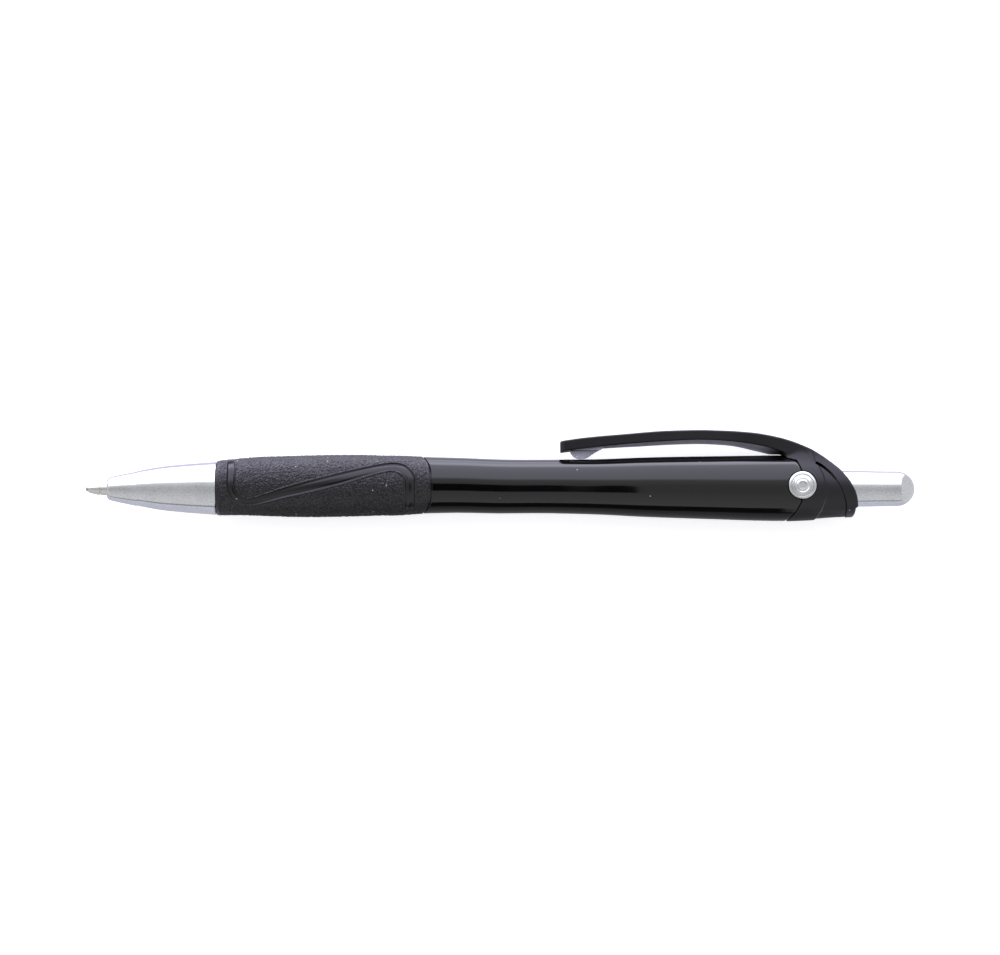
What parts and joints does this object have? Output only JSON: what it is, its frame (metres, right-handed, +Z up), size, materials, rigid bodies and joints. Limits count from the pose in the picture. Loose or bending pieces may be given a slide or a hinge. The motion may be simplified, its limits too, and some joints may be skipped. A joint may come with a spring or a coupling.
{
  "type": "retractable ballpoint pen",
  "caption": "Click pen with a chrome nose and button, a textured rubber grip, a waisted black barrel, and a cap whose sprung clip arches over the barrel.",
  "frame": {"origin": "on the surface the pen lies on, under the middle of its length and of its width across the clip", "axes": "+X along the pen from the writing point to the button, +Y towards the clip, +Z up from the surface"},
  "size_m": [0.143, 0.0157, 0.0116],
  "materials": {
    "chrome_plated": "polished",
    "rubber": "satin",
    "gloss_black": "gloss",
    "satin_black": "satin",
    "white_plastic": "satin",
    "acetal": "satin",
    "spring_steel": "gloss",
    "nickel_silver": "gloss",
    "ball": "polished",
    "clear_tube": "gloss",
    "ink": "gloss",
    "grease": "gloss"
  },
  "bodies": {
    "pen_body": {"barrel": "gloss_black", "grip_sleeve": "rubber", "clip_cap": "satin_black", "medallion_front": "chrome_plated", "medallion_back": "chrome_plated", "guide_sleeve": "white_plastic", "return_spring": "spring_steel"},
    "nose": {"nose_cone": "chrome_plated"},
    "plunger": {"push_button": "chrome_plated", "thrust_sleeve": "white_plastic"},
    "refill": {"tip_holder": "white_plastic", "tip_point": "nickel_silver", "ink_tube": "clear_tube", "ink_column": "ink", "ink_follower": "grease"},
    "ball": {"writing_ball": "ball"},
    "rotor": {"cam_rotor": "acetal"},
    "clip": {"clip_arm": "satin_black"}
  },
  "joints": [
    {"name": "plunger_slide", "type": "slide", "parent": "pen_body", "child": "plunger", "axis": [1, 0, 0], "range_m": [-0.001, 0.0045], "stiffness_N_per_m": 150},
    {"name": "refill_slide", "type": "slide", "parent": "pen_body", "child": "refill", "axis": [1, 0, 0], "range_m": [-0.001, 0.0045], "deforming": ["return_spring"]},
    {"name": "rotor_spin", "type": "hinge", "parent": "refill", "child": "rotor", "pos_m": [0.037, -0.00233, 0.0058], "axis": [1, 0, 0], "continuous": true},
    {"name": "ball_roll", "type": "hinge", "parent": "refill", "child": "ball", "pos_m": [-0.07101, -0.00233, 0.0058], "axis": [0, 1, 0], "continuous": true},
    {"name": "clip_flex", "type": "hinge", "parent": "pen_body", "child": "clip", "pos_m": [0.0497, 0.00467, 0.0058], "axis": [0, 0, -1], "range_deg": [0, 4], "stiffness_Nm_per_rad": 1},
    {"name": "nose_cone_off", "type": "slide", "parent": "pen_body", "child": "nose", "axis": [-1, 0, 0], "range_m": [0, 0.032]}
  ],
  "couplings": [
    {"joint": "refill_slide", "follows": "plunger_slide", "ratio": 1}
  ]
}
